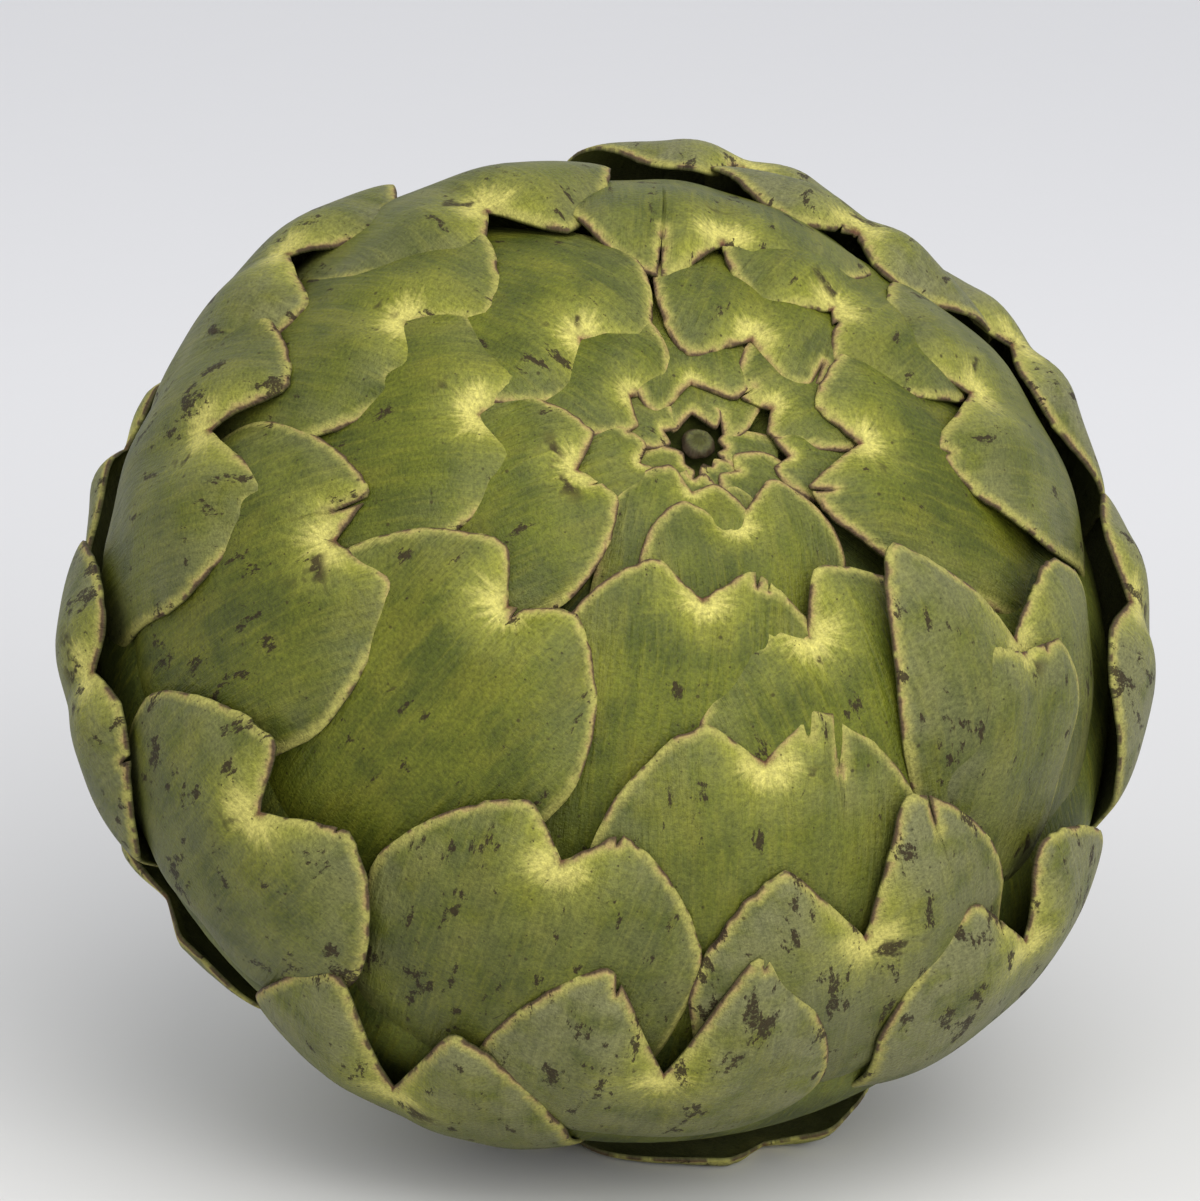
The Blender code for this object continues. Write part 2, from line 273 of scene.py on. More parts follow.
# Where each colour of the skin comes in and is full, and how strong it gets. Distances from the edge and
# along the bract are in millimetres, those from the notch in half widths, and angles in degrees down from
# the crown
PATCH_YELLOW = 0.55
STREAK_YELLOW = 0.40
# The grey on the bracts is partly real bloom and partly painted sheen, more of the sheen on one side
BLOOM_SHEEN_EDGE = (8.0, 0.5)
BLOOM_SHEEN_POLAR = (25.0, 90.0)
SHEEN_SIDE_POLAR = (20.0, 60.0)
BLOOM_SHEEN_PATCHES = (0.20, 0.65)
BLOOM_SHEEN_MOST = 0.85
GLOW_REACH = (0.46, 0.10)
GLOW_STRENGTH = 0.62
VEE_REACH = (0.24, 0.02)
VEE_LENGTH = (0.58, 0.20)
CREAM_REACH = (0.23, 0.07)
CREAM_ALONG = (-2.5, 0.4)
CREAM_STRENGTH = 0.85
RIM_WIDTH = (1.45, 0.20)
RIM_STRENGTH = 0.85
FLUSH_WIDTH = (0.75, 0.10)
FLUSH_STRENGTH = 0.6
LINE_WIDTH = (0.34, 0.06)
LINE_STRENGTH = 0.85
APEX_REACH = (0.060, 0.010)
APEX_STRENGTH = 0.8
AGE_POLAR = (15.0, 70.0)
SCUFF_BAND = (0.653, 0.693)
SCUFF_AGE = 0.048
SCUFF_STRENGTH = 0.92
SCRATCH_BAND = (0.70, 0.735)
SCRATCH_STRENGTH = 0.6
SPECK_STRENGTH = 0.7
INSIDE_STRENGTH = 0.8

# How bright the skin is: what grain and streaks add, and the painted shade taken off toward the foot, where
# bracts go under their neighbours, and on the outer bracts further down from the crown
SHADE_BASE = 0.02
SHADE_GRAIN = 1.40
SHADE_STREAK = 0.42
SHADE_TIP = 1.04
FOOT_PAINTED_SHADE = 0.16
FOOT_ALONG = (3.0, 24.0)
OUTER_PAINTED_SHADE = 0.10
OUTER_SHADE_POLAR = (20.0, 50.0)
ROUGHNESS = 0.42
GLOSS = 0.24
SKIN_RELIEF = 0.00030

# Studio: painted light makes the floor a little paler round the head, filling its shadow, and painted shade
# leaves it greyer near the camera and to the left and paler far behind it, by distances in metres
FLOOR_SIZE = 2.5
FLOOR_NEAR = (0.62, 0.62, 0.62)
FLOOR_PAINTED_LIGHT = (0.76, 0.757, 0.754)
FLOOR_FAR = (0.80, 0.80, 0.815)
FLOOR_LEAN = 0.35
FAR_BAND = (-0.10, 0.42)
PAINTED_LIGHT_BAND = (0.160, 0.040)
PAINTED_LIGHT_SHIFT = (0.015, 0.04)
FLOOR_MOTTLE = 0.04
SURROUND = (0.965, 0.975, 1.0)
SURROUND_STRENGTH = 0.80
# Lamps: watts, disk size, place, aim and colour
KEY = (2.8, 0.7, (0.0, -0.42, 0.74), (0.0, -0.02, 0.03), (1.0, 0.985, 0.95))
FILL = (4.6, 0.9, (0.10, -0.95, 0.38), (0.0, -0.06, 0.0), (1.0, 0.99, 0.97))

MM = 0.001


def direction(polar, turn):
    """Unit direction on the head for a polar angle and a turn in degrees."""
    p = math.radians(polar)
    a = math.radians(turn)
    return np.array((math.sin(p) * math.cos(a), math.sin(p) * math.sin(a), math.cos(p)))


def head_axes():
    """The head's frame: two directions across the axis, for turns 0 and 90, and the axis itself."""
    rise = math.radians(AXIS_RISE)
    axis = np.array((0.0, -math.cos(rise), math.sin(rise)))
    side = np.array((-1.0, 0.0, 0.0))
    return side, np.cross(axis, side), axis


def on_body(unit, lift):
    """World points of the head's body in the given directions, raised off it by lift."""
    ratio = np.where(unit[..., 2] > 0.0, TOP_RATIO, BOTTOM_RATIO)
    polar = np.degrees(np.arccos(np.clip(unit[..., 2], -1.0, 1.0)))
    place = unit * BODY_RADIUS
    place[..., 2] *= ratio
    place[..., 2] -= CROWN_DIMPLE * np.exp(-((polar / DIMPLE_SPREAD) ** 2))
    normal = unit.copy()
    normal[..., 2] /= ratio
    normal /= np.linalg.norm(normal, axis=-1, keepdims=True)
    place = place + normal * lift[..., None]
    return place @ np.array(head_axes()) + np.array(HEAD_CENTRE)


def spiral_bract(n):
    """Polar angle, turn, half width and lean of the spiral's bract n."""
    polar = POLAR_START + POLAR_STEP * n + POLAR_GROWTH * n ** 2 - POLAR_EASE * n ** 3
    down, round_ = NUDGES.get(n, (0, 0))
    turn = FIRST_TURN + GOLDEN_ANGLE * n
    share = (1.0 - math.exp(-(n + 1.5) / WIDTH_RISE)) * (1.0 - math.exp(-(BRACT_COUNT - n) / WIDTH_FALL))
    half = 0.5 * WIDEST_BRACT * share * WIDTHS.get(n, 1.0)
    return polar + down, turn + round_, half, LEANS.get(n, 0.0)


def slope_at(polar):
    """How steeply a bract stands off the head: those behind the widest part lie flatter."""
    q = max(0.0, min(1.0, (polar - REAR_POLAR) / REAR_SPAN))
    return SLOPE * (1.0 - REAR_SETTLE * q * q * (3.0 - 2.0 * q))


def notch_fall(q):
    """Share of the notch's depth at q of the way from its bottom to the lobe."""
    return (1.0 - q) ** 1.5 * (1.0 + 0.5 * q)


def outline_top(s, lobes):
    """How far the tip edge lies below the higher lobe at s across, in half widths, and the notch's depth.

    lobes are left place, left height over the notch, right place and right height.
    """
    depth = max(lobes[1], lobes[3])
    place = np.where(s < 0.0, lobes[0], lobes[2])
    drop = np.where(s < 0.0, depth - lobes[1], depth - lobes[3])
    a = np.abs(s)
    q = np.clip(a / place, 0.0, 1.0)
    r = np.clip((a - place) / (1.0 - place), 0.0, 1.0)
    inside = depth * notch_fall(q) + drop * (1.0 - notch_fall(q))
    fall = max(SHOULDER_DROP, depth + SHOULDER_BELOW) - drop
    shoulder = fall * (1.0 - (1.0 - r ** SHOULDER_POWER) ** (1.0 / SHOULDER_POWER))
    return np.where(a < place, inside, drop + shoulder), depth


def waves(x, y, rng, count, longest):
    """Smooth random relief: a sum of seeded sine waves over the blade, between about -1 and 1."""
    total = np.zeros_like(x)
    for k in range(count):
        angle = rng.uniform(0.0, math.pi)
        length = longest * rng.uniform(0.45, 1.0)
        phase = rng.uniform(0.0, 2.0 * math.pi)
        total += np.sin(2.0 * math.pi * (x * math.cos(angle) + y * math.sin(angle)) / length + phase)
    return total / count


def crack_list(seed, rng):
    """Splits of one bract's tip edge: named ones, or up to two shallow ones at random."""
    if seed in CRACKS:
        return CRACKS[seed]
    count = rng.integers(0, 3)
    return [tuple(rng.uniform(*span) for span in CRACK_SPANS) for _ in range(count)]


def across_places(columns, cracks):
    """Grid lines across a blade, with extra ones at each split."""
    u = np.linspace(-1.0, 1.0, columns + 1)
    s = (1.0 - SIDE_CROWDING) * u + SIDE_CROWDING * (1.5 * u - 0.5 * u ** 3)
    for place, depth, gap in cracks:
        s = s[np.abs(s - place) > CRACK_CLEAR * gap]
        s = np.concatenate((s, place + gap * np.array((-1.0, -0.5, 0.0, 0.5, 1.0))))
    return np.unique(s)


def edge_distance(x, y, edge_x, edge_y):
    """Distance of each blade point to the nearest point of the blade's edge."""
    flat = np.stack((x.ravel(), y.ravel()), axis=1)
    edge = np.stack((edge_x, edge_y), axis=1)
    first = edge[:-1]
    span = edge[1:] - first
    size = np.maximum((span ** 2).sum(axis=1), 1e-18)
    best = np.full(len(flat), np.inf)
    for a, d, n in zip(first, span, size):
        k = np.clip(((flat - a) @ d) / n, 0.0, 1.0)
        gap = flat - (a + k[:, None] * d)
        best = np.minimum(best, (gap ** 2).sum(axis=1))
    return np.sqrt(best).reshape(x.shape)


def above_floor(points):
    """Points pressed flat where they would dip under the floor."""
    z = points[..., 2]
    eased = FLOOR_EASE * np.exp(np.minimum(z - FLOOR_EASE, 0.0) / FLOOR_EASE)
    points[..., 2] = np.where(z < FLOOR_EASE, eased, z)
    return points


def blade(bract, seed):
    """Grid points of one bract's outer and inner face, and what its material needs to know of each."""
    polar, turn, half, lean = bract
    rng = np.random.default_rng(seed)
    small = half < SMALL_HALF
    columns = SMALL_COLUMNS if small else COLUMNS
    rows = SMALL_ROWS if small else ROWS
    v = np.linspace(0.0, 1.0, rows + 1)
    t = (v ** ROW_CROWDING)[:, None]
    usual = [value * rng.uniform(*LOBE_DRAW) for value in (LOBE_PLACE, NOTCH_DEPTH, LOBE_PLACE, NOTCH_DEPTH)]
    lobes = LOBES.get(seed, usual)
    cracks = crack_list(seed, rng)
    s = across_places(columns, cracks)[None, :]

    length = 2.0 * half * LENGTH_RATIO
    nick = 0.0
    for share, count, longest in NICKS:
        nick = nick + share * waves(s * half, s * 0.0, rng, count, longest)
    outline, depth = outline_top(s, lobes)
    for place, fall, gap in cracks:
        outline = outline + fall * np.maximum(0.0, 1.0 - np.abs(s - place) / gap)
    top = (outline + nick) * half
    y = top + (length - top) * t
    x = s * half + 0.0 * t
    notch = depth * half

    from_notch = np.hypot(x, y - notch)
    near = np.exp(-((from_notch / (NOTCH_REACH * half)) ** 2))
    place = np.where(s < 0.0, lobes[0], lobes[2])
    lobe = np.exp(-(((np.abs(s) - place) / LOBE_SPREAD) ** 2))
    lobe = lobe * np.exp(-np.maximum(y, 0.0) / (LOBE_REACH * half))
    crown = (1.0 - s * s) * np.sin(math.pi * np.minimum(1.0, y / length))
    upper = max(0.0, math.cos(math.radians(turn - CURL_TURN))) * min(1.0, polar / UPPER_POLAR)
    slope = slope_at(polar) * (1.0 + UPPER_LIFT * upper)
    dip = NOTCH_DIP * max(DIP_LEAST, min(1.0, (DIP_END - polar) / DIP_SPAN))
    rise = slope * (TIP_SHARE - y / length) + BULGE * crown + LOBE_LIFT * lobe - dip * near
    relief = WAVE_HEIGHT * waves(x, y, rng, WAVE_COUNT, WAVE_LENGTH) * min(1.0, half / FULL_HALF)
    side = edge_distance(x, y, np.concatenate((x[::-1, 0], x[0], x[:, -1])),
                         np.concatenate((y[::-1, 0], y[0], y[:, -1])))
    vee = (s[0] > -VEE_SHARE * lobes[0]) & (s[0] < VEE_SHARE * lobes[2])
    beside_notch = edge_distance(x, y, x[0][vee], y[0][vee])
    bevel = BEVEL_DEPTH * np.exp(-side / BEVEL_REACH)
    swell = PLUMPNESS * min(1.0, half / FULL_HALF)
    plump = swell * (1.0 - np.exp(-side / PLUMP_REACH))
    rightward = 0.5 * (1.0 + np.tanh(s / RAISE_BLEND))
    left, right = RAISES.get(seed, (0.0, 0.0))
    stand = MM * (left * (1.0 - rightward) + right * rightward) * np.exp(-((y / (RAISE_REACH * half)) ** 2))
    facing = CURL_MEAN + CURL_SWING * math.cos(math.radians(turn - CURL_TURN))
    curl = CURL * half * facing * slope / SLOPE
    curl = curl * np.exp(-((np.maximum(y, 0.0) / (CURL_REACH * half)) ** 2))
    beyond = np.exp(-((np.maximum(y - notch, 0.0) / (FOLD_REACH * half)) ** 2))
    ridge = np.exp(-(((np.abs(s) - FOLD_PLACE * place) / FOLD_WIDTH) ** 2))
    ridge = ridge - VALLEY_SHARE * np.exp(-((s / VALLEY_WIDTH) ** 2))
    fold = FOLD * half * min(1.0, polar / FOLD_POLAR) * ridge * beyond * (1.0 - np.exp(-side / FOLD_EDGE))
    lift = length * rise + relief + plump - PLUMP_SINK * swell - bevel + stand - curl + fold
    thick = MARGIN_THICKNESS + (BLADE_THICKNESS - MARGIN_THICKNESS) * (1.0 - np.exp(-side / THICKENS_OVER))

    start = direction(polar, turn)
    down = direction(polar + 90.0, turn)
    across = np.cross(start, down)
    swing = math.radians(lean)
    down, across = (down * math.cos(swing) + np.cross(start, down) * math.sin(swing),
                    across * math.cos(swing) - down * math.sin(swing))
    below = y - notch
    far = np.maximum(np.hypot(x, below), 1e-9)
    reach = (far / BODY_RADIUS)[..., None]
    heading = (x[..., None] * across + below[..., None] * down) / far[..., None]
    unit = start * np.cos(reach) + heading * np.sin(reach)
    facts = {
        "edge": side / MM,
        "from_notch": from_notch / half,
        "beside_notch": beside_notch / half,
        "fan": np.arctan2(x, y - notch),
        "across": x / MM,
        "along": (y - notch) / MM,
        "bract": np.full_like(x, rng.uniform(0.0, 1.0)),
        "polar": np.full_like(x, polar),
        "sheen_side": np.full_like(x, 0.5 + 0.5 * math.cos(math.radians(turn - SHEEN_TURN))),
    }
    return above_floor(on_body(unit, lift)), above_floor(on_body(unit, lift - thick)), facts


def shell_faces(rows, columns, first):
    """Quads of a closed blade: outer face, inner face and the rim between them."""
    width = columns + 1
    count = (rows + 1) * width
    i, j = np.meshgrid(np.arange(rows), np.arange(columns), indexing="ij")
    a = (i * width + j).ravel()
    outer = np.stack((a, a + width, a + width + 1, a + 1), axis=1)
    inner = outer[:, ::-1] + count
    loop = list(range(width)) + [k * width + columns for k in range(1, rows + 1)]
    loop += [rows * width + k for k in range(columns - 1, -1, -1)]
    loop += [k * width for k in range(rows - 1, 0, -1)]
    loop = np.array(loop)
    ahead = np.roll(loop, -1)
    rim = np.stack((loop, ahead, ahead + count, loop + count), axis=1)
    return np.concatenate((outer, inner, rim)) + first


def mesh_from(name, points, faces, facts):
    """Mesh with smooth quads and one float attribute for each fact."""
    mesh = bpy.data.meshes.new(name)
    mesh.from_pydata(points.tolist(), [], faces if isinstance(faces, list) else faces.tolist())
    for key, values in facts.items():
        layer = mesh.attributes.new(key, "FLOAT", "POINT")
        layer.data.foreach_set("value", np.asarray(values, dtype=np.float32))
    mesh.shade_smooth()
    mesh.update()
    return mesh


def add_piece(name, mesh, material, node):
    """Link a piece, give it its material, and tie it to the frame."""
    piece = bpy.data.objects.new(name, mesh)
    bpy.context.scene.collection.objects.link(piece)
    mesh.materials.append(material)
    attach(piece, "root")
    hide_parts(node)
    return piece


def add_bracts(name, bracts, material):
    """One piece that holds a ring of bracts. bracts are (seed, bract) pairs."""
    points, faces, facts = [], [], {}
    first = 0
    for seed, bract in bracts:
        outer, inner, known = blade(bract, seed)
        rows, columns = outer.shape[0] - 1, outer.shape[1] - 1
        faces.append(shell_faces(rows, columns, first))
        points += [outer.reshape(-1, 3), inner.reshape(-1, 3)]
        for key, values in known.items():
            facts.setdefault(key, []).extend((values.ravel(), values.ravel()))
        inside = facts.setdefault("inside", [])
        inside.extend((np.zeros(outer[..., 0].size), np.ones(outer[..., 0].size)))
        first += 2 * outer[..., 0].size
    mesh = mesh_from(name, np.concatenate(points), np.concatenate(faces),
                     {key: np.concatenate(parts) for key, parts in facts.items()})
    return add_piece(name, mesh, material, "head")


def all_rings():
    """The rings of bracts from the crown outward: name and (seed, bract) pairs."""
    bud = [(BUD_SEED + i, (p, a, 0.5 * MM * w, lean)) for i, (p, a, w, lean) in enumerate(BUD_BRACTS)]
    strays = [(STRAY_SEED + i, (p, a, 0.5 * WIDEST_BRACT * w, lean))
              for i, (p, a, w, lean) in enumerate(STRAYS)]
    rings = [("bracts_crown_bud", bud)]
    for k, (low, high) in enumerate(RINGS):
        ring = [(n, spiral_bract(n)) for n in range(low, high)]
        if low <= STRAY_BESIDE < high:
            ring += strays
        rings.append(("bracts_ring_%d" % (k + 1), ring))
    return rings


class Shade:
    """Short way to lay out one Principled material's nodes."""

    def __init__(self, name):
        self.material = bpy.data.materials.new(name)
        self.material.use_nodes = True
        self.tree = self.material.node_tree
        self.shader = self.tree.nodes["Principled BSDF"]

    def put(self, socket, value):
        """Feed an input with a link or a constant."""
        if isinstance(value, bpy.types.NodeSocket):
            self.tree.links.new(value, socket)
        elif isinstance(value, tuple) and socket.type == "RGBA":
            socket.default_value = (*value, 1.0)
        else:
            socket.default_value = value

    def fact(self, name):
        """A float that the mesh carries at each point."""
        node = self.tree.nodes.new("ShaderNodeAttribute")
        node.attribute_name = name
        return node.outputs["Fac"]

    def math(self, operation, *values):
        """Sum, product or other operation on numbers."""
        node = self.tree.nodes.new("ShaderNodeMath")
        node.operation = operation
        for socket, value in zip(node.inputs, values):
            self.put(socket, value)
        return node.outputs[0]

    def times(self, first, *others):
        """Product of several numbers."""
        for other in others:
            first = self.math("MULTIPLY", first, other)
        return first

    def band(self, value, start, end):
        """Smooth step of a number from 0 at start to 1 at end."""
        node = self.tree.nodes.new("ShaderNodeMapRange")
        node.interpolation_type = "SMOOTHSTEP"
        self.put(node.inputs["Value"], value)
        node.inputs["From Min"].default_value = min(start, end)
        node.inputs["From Max"].default_value = max(start, end)
        node.inputs["To Min"].default_value = 0.0 if start < end else 1.0
        node.inputs["To Max"].default_value = 1.0 if start < end else 0.0
        return node.outputs["Result"]

    def vector(self, x, y, z):
        """Vector from three numbers."""
        node = self.tree.nodes.new("ShaderNodeCombineXYZ")
        for socket, value in zip(node.inputs, (x, y, z)):
            self.put(socket, value)
        return node.outputs[0]

    def noise(self, vector, scale, detail=3.0, rough=0.55):
        """Noise between 0 and 1."""
        node = self.tree.nodes.new("ShaderNodeTexNoise")
        self.put(node.inputs["Vector"], vector)
        node.inputs["Scale"].default_value = scale
        node.inputs["Detail"].default_value = detail
        node.inputs["Roughness"].default_value = rough
        return node.outputs["Fac"]

    def specks(self, vector, scale, radius, share):
        """Round dots in a share of the cells: 1 in a dot."""
        node = self.tree.nodes.new("ShaderNodeTexVoronoi")
        self.put(node.inputs["Vector"], vector)
        node.inputs["Scale"].default_value = scale
        parts = self.tree.nodes.new("ShaderNodeSeparateColor")
        self.tree.links.new(node.outputs["Color"], parts.inputs[0])
        chosen = self.band(parts.outputs[0], share + 0.01, share - 0.01)
        return self.times(self.band(node.outputs["Distance"], radius, 0.4 * radius), chosen)

    def mix(self, factor, first, second):
        """Colour between two colours."""
        node = self.tree.nodes.new("ShaderNodeMix")
        node.data_type = "RGBA"
        self.put(node.inputs["Factor"], factor)
        self.put(node.inputs[6], first)
        self.put(node.inputs[7], second)
        return node.outputs[2]

    def bright(self, colour, value):
        """Colour made darker or lighter by a number."""
        node = self.tree.nodes.new("ShaderNodeVectorMath")
        node.operation = "SCALE"
        self.put(node.inputs[0], colour)
        self.put(node.inputs["Scale"], value)
        return node.outputs[0]

    def relief(self, height, distance):
        """Bump of a height, its full range as deep as the distance in metres."""
        node = self.tree.nodes.new("ShaderNodeBump")
        node.inputs["Distance"].default_value = distance
        self.put(node.inputs["Height"], height)
        self.tree.links.new(node.outputs[0], self.shader.inputs["Normal"])


def skin_material():
    """Bract skin: streaked olive green, pale fan at the notch, light rim with a brown line, scuffs."""
    n = Shade("bract_skin")
    edge, across, along = n.fact("edge"), n.fact("across"), n.fact("along")
    notch, beside, fan = n.fact("from_notch"), n.fact("beside_notch"), n.fact("fan")
    polar, inside = n.fact("polar"), n.fact("inside")
    own = n.math("MULTIPLY", n.fact("bract"), NOISE_SHIFT)
    place = n.vector(across, along, own)
    streak = n.vector(across, n.math("MULTIPLY", along, STREAK_STRETCH), own)
    rays = n.vector(n.math("MULTIPLY", fan, 2.6), n.math("MULTIPLY", notch, 2.2), own)

    # Noises that the colours share
    cloud = n.noise(place, CLOUD_SCALE, 2.0)
    patch_at = n.vector(across, n.math("MULTIPLY", along, 0.4), n.math("ADD", own, 31.0))
    patch = n.noise(patch_at, PATCH_SCALE, 2.0)
    fine = n.noise(streak, STREAK_SCALE, 3.0, 0.65)
    ray = n.noise(rays, RAY_SCALE, 3.0, 0.7)
    grain = n.noise(place, GRAIN_SCALE, 2.0, 0.75)

    # Greens, with grey toward the margin and on bracts further from the crown, partly real bloom and partly
    # painted sheen, with more painted sheen on one side of the head
    skin = n.mix(n.band(cloud, *CLOUD_BAND), DEEP_GREEN, FRESH_GREEN)
    skin = n.mix(n.times(n.band(patch, *PATCH_BAND), PATCH_YELLOW), skin, YELLOW_GREEN)
    skin = n.mix(n.times(n.band(fine, *STREAK_BAND), STREAK_YELLOW), skin, YELLOW_GREEN)
    outer = n.math("ADD", n.times(n.band(edge, *BLOOM_SHEEN_EDGE), 0.6), n.band(polar, *BLOOM_SHEEN_POLAR))
    outer = n.math("ADD", n.times(outer, 0.45), n.times(n.fact("sheen_side"), n.band(polar, *SHEEN_SIDE_POLAR), 0.8))
    bloom_sheen = n.times(outer, n.band(n.noise(place, 0.20, 4.0), *BLOOM_SHEEN_PATCHES))
    bloom_sheen = n.math("MINIMUM", bloom_sheen, BLOOM_SHEEN_MOST)
    skin = n.mix(bloom_sheen, skin, GREY_BLOOM_SHEEN)

    # Pale fan round the notch, cream at its bottom
    wobble = n.times(n.math("SUBTRACT", n.math("ADD", n.times(ray, 0.5), n.times(cloud, 0.5)), 0.5), 0.50)
    ripple = n.times(n.math("SUBTRACT", ray, 0.5), 0.10)
    glow = n.band(n.math("ADD", n.math("ADD", notch, wobble), ripple), *GLOW_REACH)
    along_vee = n.band(n.math("ADD", beside, n.times(wobble, 0.6)), *VEE_REACH)
    along_vee = n.times(along_vee, n.band(notch, *VEE_LENGTH))
    glow = n.math("MAXIMUM", n.times(glow, 0.75), along_vee)
    cream_at = n.math("ADD", n.math("ADD", notch, n.times(wobble, 0.55)), ripple)
    cream = n.times(n.band(cream_at, *CREAM_REACH), n.band(along, *CREAM_ALONG))
    skin = n.mix(n.times(glow, GLOW_STRENGTH), skin, NOTCH_GREEN)
    skin = n.mix(n.times(cream, CREAM_STRENGTH), skin, NOTCH_CREAM)

    # Light rim with a flush and a worn brown line at the very edge
    ragged = n.times(n.math("SUBTRACT", n.noise(place, 0.8, 3.0), 0.5), 1.3)
    ragged_edge = n.math("ADD", edge, ragged)
    rim = n.band(ragged_edge, *RIM_WIDTH)
    skin = n.mix(n.times(rim, RIM_STRENGTH), skin, RIM)
    worn_at = n.math("SUBTRACT", n.noise(place, 0.30, 3.0), n.times(n.band(along, 2.0, 16.0), 0.16))
    young = n.times(n.band(polar, 24.0, 10.0), 0.12)
    flush = n.times(n.band(ragged_edge, *FLUSH_WIDTH), n.band(n.math("ADD", worn_at, young), 0.42, 0.56))
    skin = n.mix(n.times(flush, FLUSH_STRENGTH), skin, RIM_FLUSH)
    line = n.band(n.math("ADD", edge, n.times(ragged, 0.35)), *LINE_WIDTH)
    line = n.times(line, n.band(worn_at, 0.40, 0.50))
    skin = n.mix(n.times(line, LINE_STRENGTH), skin, MARGIN_BROWN)
    apex = n.band(n.math("ADD", notch, n.times(wobble, 0.2)), *APEX_REACH)
    skin = n.mix(n.times(apex, APEX_STRENGTH), skin, APEX_BROWN)

    # Scuffs, scratches, specks and stains below the notch, more of them on older bracts
    age = n.band(polar, *AGE_POLAR)
    fan_at = n.vector(n.times(across, 0.6), n.times(along, 0.6), n.math("ADD", own, 13.0))
    fan_patch = n.noise(fan_at, 0.30, 3.0, 0.7)
    scuff_at = n.vector(across, n.math("MULTIPLY", along, 0.45), n.math("ADD", own, 7.0))
    scuff_at = n.noise(scuff_at, 0.34, 5.0, 0.72)
    chosen = n.band(n.noise(n.vector(across, along, n.math("ADD", own, 3.0)), 0.07, 1.0), 0.46, 0.58)
    scuff = n.math("ADD", scuff_at, n.times(n.math("ADD", age, chosen), SCUFF_AGE))
    scuff = n.band(scuff, *SCUFF_BAND)
    scratch_at = n.vector(n.math("ADD", across, n.times(along, 0.5)), n.times(along, 0.14), own)
    scratch_at = n.noise(scratch_at, 1.1, 3.0, 0.6)
    scratch = n.times(n.band(scratch_at, *SCRATCH_BAND), n.band(n.noise(place, 0.16, 1.0), 0.50, 0.60))
    dots = n.math("MAXIMUM", n.specks(place, 0.55, 0.16, 0.16), n.specks(place, 1.3, 0.22, 0.10))
    stain = n.times(n.band(notch, 0.42, 0.20), n.band(along, 0.5, 2.0), n.band(fan_patch, 0.56, 0.64))
    worn_skin = n.math("MAXIMUM", scuff, stain)
    worn_skin = n.times(worn_skin, n.band(grain, 0.28, 0.48), SCUFF_STRENGTH)
    thin_marks = n.math("MAXIMUM", n.times(scratch, SCRATCH_STRENGTH), n.times(dots, SPECK_STRENGTH))
    marks = n.math("MAXIMUM", worn_skin, thin_marks)
    skin = n.mix(marks, skin, SCUFF_BROWN)

    # Pale inner faces, then fine grain that darkens and lightens the whole, and painted shade toward the foot
    # and on the outer bracts
    skin = n.mix(n.times(inside, INSIDE_STRENGTH), skin, INSIDE_GREEN)
    shade = n.math("ADD", SHADE_BASE, n.times(grain, SHADE_GRAIN))
    shade = n.math("ADD", shade, n.times(fine, SHADE_STREAK))
    painted_foot_shade = n.times(n.band(along, *FOOT_ALONG), FOOT_PAINTED_SHADE)
    shade = n.times(shade, n.math("SUBTRACT", SHADE_TIP, painted_foot_shade))
    shade = n.times(shade, n.math("SUBTRACT", 1.0, n.times(n.band(polar, *OUTER_SHADE_POLAR), OUTER_PAINTED_SHADE)))
    n.put(n.shader.inputs["Base Color"], n.bright(skin, shade))
    rough = n.math("ADD", ROUGHNESS, n.times(grain, 0.16))
    n.put(n.shader.inputs["Roughness"], n.math("ADD", rough, n.times(n.math("MAXIMUM", marks, rim), 0.20)))
    n.shader.inputs["Specular IOR Level"].default_value = GLOSS
    n.relief(n.math("ADD", fine, n.times(grain, 0.5)), SKIN_RELIEF)
    return n.material


def stem_material():
    """Stem skin: ribbed yellow-green with a dry, pale brown cut end."""
    n = Shade("stem_skin")
    out, turn = n.fact("along"), n.fact("fan")
    place = n.vector(n.fact("across"), out, 3.0)
    fibre = n.noise(n.vector(n.times(turn, 9.0), n.times(out, 0.15), 1.0), 2.4, 4.0, 0.65)
    blotch = n.noise(place, 0.45, 4.0)
    skin = n.mix(n.band(fibre, 0.35, 0.65), STEM_DEEP, STEM_PALE)
    skin = n.mix(n.times(n.band(blotch, 0.55, 0.72), 0.7), skin, SCUFF_BROWN)
    face = n.fact("cut_end")
    pith = n.mix(n.band(n.math("ADD", n.fact("edge"), n.times(blotch, 2.0)), 2.0, 4.5), STEM_RIM, STEM_PITH)
    pores = n.specks(place, 1.1, 0.30, 0.5)
    pith = n.mix(n.times(pores, 0.5), pith, STEM_RIM)
    n.put(n.shader.inputs["Base Color"], n.mix(face, skin, pith))
    n.shader.inputs["Roughness"].default_value = 0.7
    n.relief(fibre, 0.0006)
    return n.material


def bud_material():
    """The closed bud: dark olive with a browner ring."""
    n = Shade("bud_skin")
    round_, out = n.fact("fan"), n.fact("edge")
    grain = n.noise(n.vector(n.times(round_, 2.0), out, 5.0), 2.2, 4.0, 0.7)
    skin = n.mix(n.band(grain, 0.35, 0.65), BUD_DARK, BUD_GREEN)
    brown = n.band(n.math("ADD", out, n.times(grain, 0.5)), 0.85, 1.15)
    skin = n.mix(n.times(brown, 0.8), skin, MARGIN_BROWN)
    n.put(n.shader.inputs["Base Color"], skin)
    n.shader.inputs["Roughness"].default_value = 0.55
    n.relief(grain, 0.0004)
    return n.material


